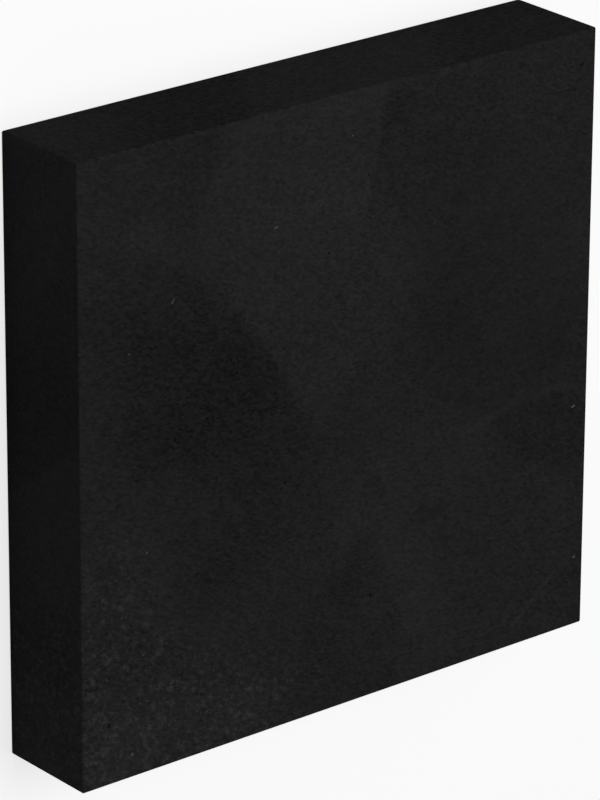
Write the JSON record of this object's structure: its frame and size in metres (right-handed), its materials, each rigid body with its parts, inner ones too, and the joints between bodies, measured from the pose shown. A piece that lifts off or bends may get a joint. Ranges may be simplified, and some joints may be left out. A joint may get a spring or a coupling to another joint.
{
  "type": "stoneware tile",
  "caption": "Square black full-body stoneware floor tile with a flat matte face, crisp ground edges and a keyed back of square pockets for bedding in mortar or adhesive.",
  "frame": {"origin": "centre of the tile's back, on the plane of the back's rim and ribs, which is what it lies on", "axes": "+Z out of the face, up as the tile lies; +X and +Y along its sides, to the right and to the top of the face as the picture shows it"},
  "size_m": [0.1, 0.1, 0.018],
  "materials": {
    "stoneware": "matte"
  },
  "bodies": {
    "root": {"tile": "stoneware"}
  },
  "joints": []
}
